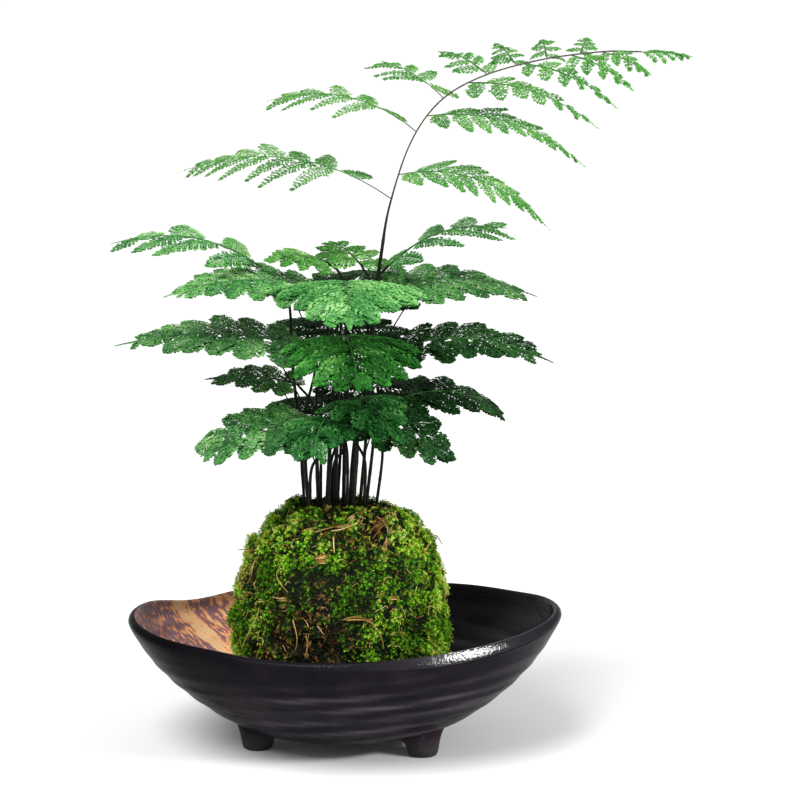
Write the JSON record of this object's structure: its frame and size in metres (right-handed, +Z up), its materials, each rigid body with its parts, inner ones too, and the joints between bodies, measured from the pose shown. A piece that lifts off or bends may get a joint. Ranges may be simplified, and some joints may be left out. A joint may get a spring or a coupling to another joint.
{
  "type": "potted asparagus fern",
  "caption": "Asparagus fern with flat feathery fronds and a tall arching shoot, growing from a moss ball in a footed oval stoneware dish.",
  "frame": {"origin": "centre of the bounding box in X and Y, on the surface that the feet stand on", "axes": "+Z up, +Y away from the front, +X to the right, the way the tall shoot arches"},
  "size_m": [0.2802, 0.1864, 0.3484],
  "materials": {
    "stoneware": "satin near-black glaze with throwing ridges, rust and ochre flecks inside on the left",
    "moss": "matt, tufted",
    "soil": "matt, damp",
    "stem": "satin, near-black green",
    "frond_light": "matt, fresh green",
    "frond_dark": "matt, deep green",
    "frond_young": "matt, yellow-green"
  },
  "bodies": {
    "root": {"stem_front_low_left": "stem", "stem_front_low_centre": "stem", "stem_front_low_inner": "stem", "stem_front_low_right": "stem", "stem_right_low": "stem", "stem_left_mid_low": "stem", "stem_left_mid": "stem", "stem_centre_mid": "stem", "stem_back_mid": "stem", "stem_right_mid": "stem", "stem_high_left": "stem", "stem_high_front": "stem", "stem_high_right": "stem", "stem_top_left": "stem", "stem_top_centre_left": "stem", "stem_top_centre_right": "stem", "stem_top_right": "stem", "stem_back_low": "stem", "stem_back_low_right": "stem", "stem_back_high": "stem", "frond_front_low_left": "frond_light", "frond_front_low_centre": "frond_light", "frond_front_low_inner": "frond_light", "frond_front_low_right": "frond_dark", "frond_right_low": "frond_dark", "frond_left_mid_low": "frond_light", "frond_left_mid": "frond_light", "frond_centre_mid": "frond_light", "frond_back_mid": "frond_dark", "frond_right_mid": "frond_dark", "frond_high_left": "frond_light", "frond_high_front": "frond_light", "frond_high_right": "frond_dark", "frond_top_left": "frond_light", "frond_top_centre_left": "frond_light", "frond_top_centre_right": "frond_light", "frond_top_right": "frond_dark", "frond_back_low": "frond_dark", "frond_back_low_right": "frond_dark", "frond_back_high": "frond_dark", "stem_tall": "stem", "spray_tall_left_1": "frond_young", "spray_tall_left_2": "frond_young", "spray_tall_left_3": "frond_young", "spray_tall_right_1": "frond_young", "spray_tall_right_2": "frond_young", "spray_tall_near_1": "frond_young", "spray_tall_near_2": "frond_young", "spray_tall_near_3": "frond_young", "spray_tall_near_4": "frond_young", "spray_tall_far_1": "frond_young", "spray_tall_far_2": "frond_young", "spray_tall_far_3": "frond_young", "spray_tall_far_4": "frond_young", "spray_tall_tip": "frond_young", "dish": "stoneware", "moss_cover": "moss", "soil_ball": "soil"}
  },
  "joints": []
}
